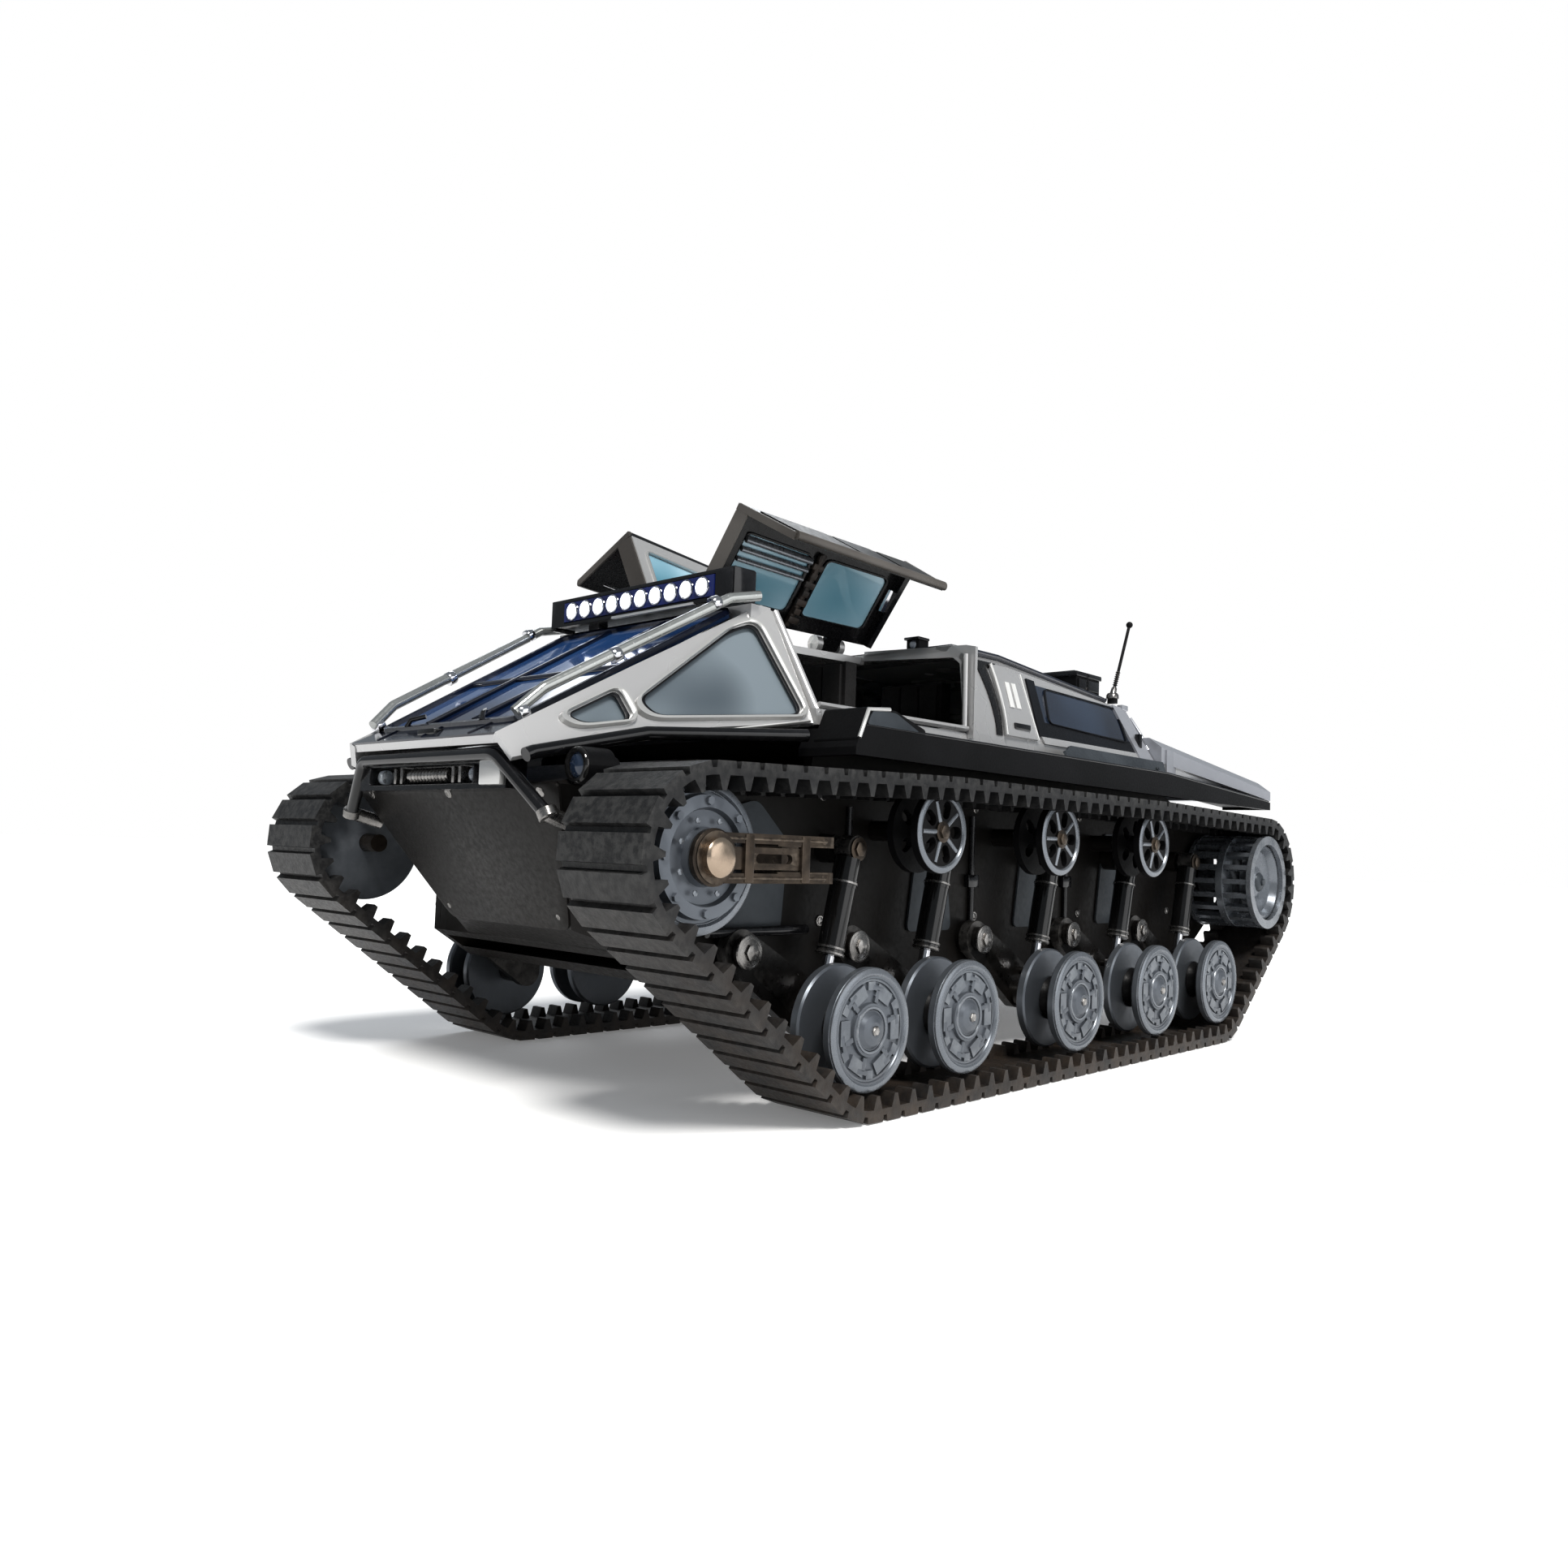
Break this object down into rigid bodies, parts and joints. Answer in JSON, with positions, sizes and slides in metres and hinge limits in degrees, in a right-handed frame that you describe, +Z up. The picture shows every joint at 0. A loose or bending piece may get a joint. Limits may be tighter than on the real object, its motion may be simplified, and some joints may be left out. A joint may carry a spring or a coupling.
{
  "type": "tracked vehicle chassis",
  "caption": "Small tracked vehicle chassis: rubber tracks, sprung road wheels on trailing arms, drive sprockets and an angular cab with two upward-opening doors.",
  "frame": {"origin": "centre of the footprint, on the ground under the tracks", "axes": "+Z up, -Y towards the nose, +X to the vehicle's left side"},
  "size_m": [0.135, 0.271, 0.1276],
  "materials": {
    "body_silver": "satin silver paint over moulded plastic",
    "door_silver": "satin silver paint over moulded plastic",
    "hull_grey": "dark satin paint over moulded plastic, dusty",
    "track_rubber": "matt moulded rubber, dusty",
    "wheel_metal": "satin, light blue-grey",
    "arm_metal": "satin black",
    "chrome": "polished",
    "black_gloss": "gloss black enamel",
    "black_plastic": "matt black",
    "glass_blue": "deep blue tinted glass",
    "lamp_lens": "clear blue lens over white diodes",
    "roller_black": "black with bright spokes",
    "sprocket_metal": "worn steel",
    "bronze": "dull bronze",
    "interior_black": "matt black moulding",
    "motor_can": "plain steel can",
    "electronics": "board and wrapped cells"
  },
  "bodies": {
    "hull": {"track_left": "track_rubber", "track_right": "track_rubber", "lower_hull": "hull_grey", "upper_body": "body_silver", "rear_deck": "body_silver", "fenders": "black_plastic", "glazing": "glass_blue", "light_bar_housing": "black_plastic", "light_bar_lens": "lamp_lens", "bumper_frame": "black_gloss", "windshield_rails": "chrome", "headlights": "chrome", "track_tensioners": "bronze", "shock_cylinders": "black_gloss", "roof_fittings": "black_plastic", "cabin_interior": "interior_black", "drive_motors": "motor_can", "battery_and_receiver": "electronics"},
    "drive_sprocket_left": {"drive_sprocket_left": "sprocket_metal"},
    "front_idler_left": {"front_idler_left": "wheel_metal"},
    "return_roller_left_1": {"return_roller_left_1": "roller_black"},
    "return_roller_left_2": {"return_roller_left_2": "roller_black"},
    "return_roller_left_3": {"return_roller_left_3": "roller_black"},
    "swing_arm_left_1": {"swing_arm_left_1": "arm_metal"},
    "road_wheel_left_1": {"road_wheel_left_1": "wheel_metal"},
    "shock_rod_left_1": {"shock_rod_left_1": "chrome"},
    "swing_arm_left_2": {"swing_arm_left_2": "arm_metal"},
    "road_wheel_left_2": {"road_wheel_left_2": "wheel_metal"},
    "shock_rod_left_2": {"shock_rod_left_2": "chrome"},
    "swing_arm_left_3": {"swing_arm_left_3": "arm_metal"},
    "road_wheel_left_3": {"road_wheel_left_3": "wheel_metal"},
    "shock_rod_left_3": {"shock_rod_left_3": "chrome"},
    "swing_arm_left_4": {"swing_arm_left_4": "arm_metal"},
    "road_wheel_left_4": {"road_wheel_left_4": "wheel_metal"},
    "shock_rod_left_4": {"shock_rod_left_4": "chrome"},
    "swing_arm_left_5": {"swing_arm_left_5": "arm_metal"},
    "road_wheel_left_5": {"road_wheel_left_5": "wheel_metal"},
    "shock_rod_left_5": {"shock_rod_left_5": "chrome"},
    "door_left": {"door_left": "door_silver"},
    "drive_sprocket_right": {"drive_sprocket_right": "sprocket_metal"},
    "front_idler_right": {"front_idler_right": "wheel_metal"},
    "return_roller_right_1": {"return_roller_right_1": "roller_black"},
    "return_roller_right_2": {"return_roller_right_2": "roller_black"},
    "return_roller_right_3": {"return_roller_right_3": "roller_black"},
    "swing_arm_right_1": {"swing_arm_right_1": "arm_metal"},
    "road_wheel_right_1": {"road_wheel_right_1": "wheel_metal"},
    "shock_rod_right_1": {"shock_rod_right_1": "chrome"},
    "swing_arm_right_2": {"swing_arm_right_2": "arm_metal"},
    "road_wheel_right_2": {"road_wheel_right_2": "wheel_metal"},
    "shock_rod_right_2": {"shock_rod_right_2": "chrome"},
    "swing_arm_right_3": {"swing_arm_right_3": "arm_metal"},
    "road_wheel_right_3": {"road_wheel_right_3": "wheel_metal"},
    "shock_rod_right_3": {"shock_rod_right_3": "chrome"},
    "swing_arm_right_4": {"swing_arm_right_4": "arm_metal"},
    "road_wheel_right_4": {"road_wheel_right_4": "wheel_metal"},
    "shock_rod_right_4": {"shock_rod_right_4": "chrome"},
    "swing_arm_right_5": {"swing_arm_right_5": "arm_metal"},
    "road_wheel_right_5": {"road_wheel_right_5": "wheel_metal"},
    "shock_rod_right_5": {"shock_rod_right_5": "chrome"},
    "door_right": {"door_right": "door_silver"}
  },
  "joints": [
    {"name": "sprocket_spin_left", "type": "hinge", "parent": "hull", "child": "drive_sprocket_left", "pos_m": [0.056, 0.1154, 0.0456], "axis": [1, 0, 0], "continuous": true},
    {"name": "idler_spin_left", "type": "hinge", "parent": "hull", "child": "front_idler_left", "pos_m": [0.057, -0.1191, 0.0487], "axis": [1, 0, 0], "continuous": true},
    {"name": "roller_spin_left_1", "type": "hinge", "parent": "hull", "child": "return_roller_left_1", "pos_m": [0.059, -0.051, 0.0552], "axis": [1, 0, 0], "continuous": true},
    {"name": "roller_spin_left_2", "type": "hinge", "parent": "hull", "child": "return_roller_left_2", "pos_m": [0.059, -0.003, 0.0552], "axis": [1, 0, 0], "continuous": true},
    {"name": "roller_spin_left_3", "type": "hinge", "parent": "hull", "child": "return_roller_left_3", "pos_m": [0.059, 0.0455, 0.0552], "axis": [1, 0, 0], "continuous": true},
    {"name": "arm_hinge_left_1", "type": "hinge", "parent": "hull", "child": "swing_arm_left_1", "pos_m": [0.0475, -0.0941, 0.031], "axis": [1, 0, 0], "range_deg": [0, 8], "stiffness_Nm_per_rad": 0.1, "springref_deg": -9.74},
    {"name": "wheel_spin_left_1", "type": "hinge", "parent": "swing_arm_left_1", "child": "road_wheel_left_1", "pos_m": [0.061, -0.0761, 0.017], "axis": [1, 0, 0], "continuous": true},
    {"name": "shock_slide_left_1", "type": "slide", "parent": "hull", "child": "shock_rod_left_1", "axis": [0, 0.2449, 0.9695], "range_m": [0, 0.0038]},
    {"name": "arm_hinge_left_2", "type": "hinge", "parent": "hull", "child": "swing_arm_left_2", "pos_m": [0.0475, -0.062, 0.031], "axis": [1, 0, 0], "range_deg": [0, 8], "stiffness_Nm_per_rad": 0.1, "springref_deg": -9.74},
    {"name": "wheel_spin_left_2", "type": "hinge", "parent": "swing_arm_left_2", "child": "road_wheel_left_2", "pos_m": [0.061, -0.044, 0.017], "axis": [1, 0, 0], "continuous": true},
    {"name": "shock_slide_left_2", "type": "slide", "parent": "hull", "child": "shock_rod_left_2", "axis": [0, 0.2449, 0.9695], "range_m": [0, 0.0038]},
    {"name": "arm_hinge_left_3", "type": "hinge", "parent": "hull", "child": "swing_arm_left_3", "pos_m": [0.0475, -0.0158, 0.031], "axis": [1, 0, 0], "range_deg": [0, 8], "stiffness_Nm_per_rad": 0.1, "springref_deg": -9.74},
    {"name": "wheel_spin_left_3", "type": "hinge", "parent": "swing_arm_left_3", "child": "road_wheel_left_3", "pos_m": [0.061, 0.0022, 0.017], "axis": [1, 0, 0], "continuous": true},
    {"name": "shock_slide_left_3", "type": "slide", "parent": "hull", "child": "shock_rod_left_3", "axis": [0, 0.2449, 0.9695], "range_m": [0, 0.0038]},
    {"name": "arm_hinge_left_4", "type": "hinge", "parent": "hull", "child": "swing_arm_left_4", "pos_m": [0.0475, 0.0256, 0.031], "axis": [1, 0, 0], "range_deg": [0, 8], "stiffness_Nm_per_rad": 0.1, "springref_deg": -9.74},
    {"name": "wheel_spin_left_4", "type": "hinge", "parent": "swing_arm_left_4", "child": "road_wheel_left_4", "pos_m": [0.061, 0.0436, 0.017], "axis": [1, 0, 0], "continuous": true},
    {"name": "shock_slide_left_4", "type": "slide", "parent": "hull", "child": "shock_rod_left_4", "axis": [0, 0.2449, 0.9695], "range_m": [0, 0.0038]},
    {"name": "arm_hinge_left_5", "type": "hinge", "parent": "hull", "child": "swing_arm_left_5", "pos_m": [0.0475, 0.0641, 0.031], "axis": [1, 0, 0], "range_deg": [0, 8], "stiffness_Nm_per_rad": 0.1, "springref_deg": -9.74},
    {"name": "wheel_spin_left_5", "type": "hinge", "parent": "swing_arm_left_5", "child": "road_wheel_left_5", "pos_m": [0.061, 0.0821, 0.017], "axis": [1, 0, 0], "continuous": true},
    {"name": "shock_slide_left_5", "type": "slide", "parent": "hull", "child": "shock_rod_left_5", "axis": [0, 0.2449, 0.9695], "range_m": [0, 0.0038]},
    {"name": "door_hinge_left", "type": "hinge", "parent": "hull", "child": "door_left", "pos_m": [0.005, -0.074, 0.1032], "axis": [0.1219, 0.9924, -0.0157], "range_deg": [0, 62]},
    {"name": "sprocket_spin_right", "type": "hinge", "parent": "hull", "child": "drive_sprocket_right", "pos_m": [-0.056, 0.1154, 0.0456], "axis": [1, 0, 0], "continuous": true},
    {"name": "idler_spin_right", "type": "hinge", "parent": "hull", "child": "front_idler_right", "pos_m": [-0.057, -0.1191, 0.0487], "axis": [1, 0, 0], "continuous": true},
    {"name": "roller_spin_right_1", "type": "hinge", "parent": "hull", "child": "return_roller_right_1", "pos_m": [-0.059, -0.051, 0.0552], "axis": [1, 0, 0], "continuous": true},
    {"name": "roller_spin_right_2", "type": "hinge", "parent": "hull", "child": "return_roller_right_2", "pos_m": [-0.059, -0.003, 0.0552], "axis": [1, 0, 0], "continuous": true},
    {"name": "roller_spin_right_3", "type": "hinge", "parent": "hull", "child": "return_roller_right_3", "pos_m": [-0.059, 0.0455, 0.0552], "axis": [1, 0, 0], "continuous": true},
    {"name": "arm_hinge_right_1", "type": "hinge", "parent": "hull", "child": "swing_arm_right_1", "pos_m": [-0.0475, -0.0941, 0.031], "axis": [1, 0, 0], "range_deg": [0, 8], "stiffness_Nm_per_rad": 0.1, "springref_deg": -9.74},
    {"name": "wheel_spin_right_1", "type": "hinge", "parent": "swing_arm_right_1", "child": "road_wheel_right_1", "pos_m": [-0.061, -0.0761, 0.017], "axis": [1, 0, 0], "continuous": true},
    {"name": "shock_slide_right_1", "type": "slide", "parent": "hull", "child": "shock_rod_right_1", "axis": [0, 0.2449, 0.9695], "range_m": [0, 0.0038]},
    {"name": "arm_hinge_right_2", "type": "hinge", "parent": "hull", "child": "swing_arm_right_2", "pos_m": [-0.0475, -0.062, 0.031], "axis": [1, 0, 0], "range_deg": [0, 8], "stiffness_Nm_per_rad": 0.1, "springref_deg": -9.74},
    {"name": "wheel_spin_right_2", "type": "hinge", "parent": "swing_arm_right_2", "child": "road_wheel_right_2", "pos_m": [-0.061, -0.044, 0.017], "axis": [1, 0, 0], "continuous": true},
    {"name": "shock_slide_right_2", "type": "slide", "parent": "hull", "child": "shock_rod_right_2", "axis": [0, 0.2449, 0.9695], "range_m": [0, 0.0038]},
    {"name": "arm_hinge_right_3", "type": "hinge", "parent": "hull", "child": "swing_arm_right_3", "pos_m": [-0.0475, -0.0158, 0.031], "axis": [1, 0, 0], "range_deg": [0, 8], "stiffness_Nm_per_rad": 0.1, "springref_deg": -9.74},
    {"name": "wheel_spin_right_3", "type": "hinge", "parent": "swing_arm_right_3", "child": "road_wheel_right_3", "pos_m": [-0.061, 0.0022, 0.017], "axis": [1, 0, 0], "continuous": true},
    {"name": "shock_slide_right_3", "type": "slide", "parent": "hull", "child": "shock_rod_right_3", "axis": [0, 0.2449, 0.9695], "range_m": [0, 0.0038]},
    {"name": "arm_hinge_right_4", "type": "hinge", "parent": "hull", "child": "swing_arm_right_4", "pos_m": [-0.0475, 0.0256, 0.031], "axis": [1, 0, 0], "range_deg": [0, 8], "stiffness_Nm_per_rad": 0.1, "springref_deg": -9.74},
    {"name": "wheel_spin_right_4", "type": "hinge", "parent": "swing_arm_right_4", "child": "road_wheel_right_4", "pos_m": [-0.061, 0.0436, 0.017], "axis": [1, 0, 0], "continuous": true},
    {"name": "shock_slide_right_4", "type": "slide", "parent": "hull", "child": "shock_rod_right_4", "axis": [0, 0.2449, 0.9695], "range_m": [0, 0.0038]},
    {"name": "arm_hinge_right_5", "type": "hinge", "parent": "hull", "child": "swing_arm_right_5", "pos_m": [-0.0475, 0.0641, 0.031], "axis": [1, 0, 0], "range_deg": [0, 8], "stiffness_Nm_per_rad": 0.1, "springref_deg": -9.74},
    {"name": "wheel_spin_right_5", "type": "hinge", "parent": "swing_arm_right_5", "child": "road_wheel_right_5", "pos_m": [-0.061, 0.0821, 0.017], "axis": [1, 0, 0], "continuous": true},
    {"name": "shock_slide_right_5", "type": "slide", "parent": "hull", "child": "shock_rod_right_5", "axis": [0, 0.2449, 0.9695], "range_m": [0, 0.0038]},
    {"name": "door_hinge_right", "type": "hinge", "parent": "hull", "child": "door_right", "pos_m": [-0.005, -0.074, 0.1032], "axis": [-0.1219, 0.9924, -0.0157], "range_deg": [-62, 0]}
  ],
  "couplings": [
    {"joint": "idler_spin_left", "follows": "sprocket_spin_left", "ratio": 1.2624},
    {"joint": "roller_spin_left_1", "follows": "sprocket_spin_left", "ratio": 2.046},
    {"joint": "roller_spin_left_2", "follows": "sprocket_spin_left", "ratio": 2.046},
    {"joint": "roller_spin_left_3", "follows": "sprocket_spin_left", "ratio": 2.046},
    {"joint": "wheel_spin_left_1", "follows": "sprocket_spin_left", "ratio": 1.5149},
    {"joint": "shock_slide_left_1", "follows": "arm_hinge_left_1", "m_per_rad": 0.0211},
    {"joint": "wheel_spin_left_2", "follows": "sprocket_spin_left", "ratio": 1.5149},
    {"joint": "shock_slide_left_2", "follows": "arm_hinge_left_2", "m_per_rad": 0.0211},
    {"joint": "wheel_spin_left_3", "follows": "sprocket_spin_left", "ratio": 1.5149},
    {"joint": "shock_slide_left_3", "follows": "arm_hinge_left_3", "m_per_rad": 0.0211},
    {"joint": "wheel_spin_left_4", "follows": "sprocket_spin_left", "ratio": 1.5149},
    {"joint": "shock_slide_left_4", "follows": "arm_hinge_left_4", "m_per_rad": 0.0211},
    {"joint": "wheel_spin_left_5", "follows": "sprocket_spin_left", "ratio": 1.5149},
    {"joint": "shock_slide_left_5", "follows": "arm_hinge_left_5", "m_per_rad": 0.0211},
    {"joint": "idler_spin_right", "follows": "sprocket_spin_right", "ratio": 1.2624},
    {"joint": "roller_spin_right_1", "follows": "sprocket_spin_right", "ratio": 2.046},
    {"joint": "roller_spin_right_2", "follows": "sprocket_spin_right", "ratio": 2.046},
    {"joint": "roller_spin_right_3", "follows": "sprocket_spin_right", "ratio": 2.046},
    {"joint": "wheel_spin_right_1", "follows": "sprocket_spin_right", "ratio": 1.5149},
    {"joint": "shock_slide_right_1", "follows": "arm_hinge_right_1", "m_per_rad": 0.0211},
    {"joint": "wheel_spin_right_2", "follows": "sprocket_spin_right", "ratio": 1.5149},
    {"joint": "shock_slide_right_2", "follows": "arm_hinge_right_2", "m_per_rad": 0.0211},
    {"joint": "wheel_spin_right_3", "follows": "sprocket_spin_right", "ratio": 1.5149},
    {"joint": "shock_slide_right_3", "follows": "arm_hinge_right_3", "m_per_rad": 0.0211},
    {"joint": "wheel_spin_right_4", "follows": "sprocket_spin_right", "ratio": 1.5149},
    {"joint": "shock_slide_right_4", "follows": "arm_hinge_right_4", "m_per_rad": 0.0211},
    {"joint": "wheel_spin_right_5", "follows": "sprocket_spin_right", "ratio": 1.5149},
    {"joint": "shock_slide_right_5", "follows": "arm_hinge_right_5", "m_per_rad": 0.0211}
  ]
}
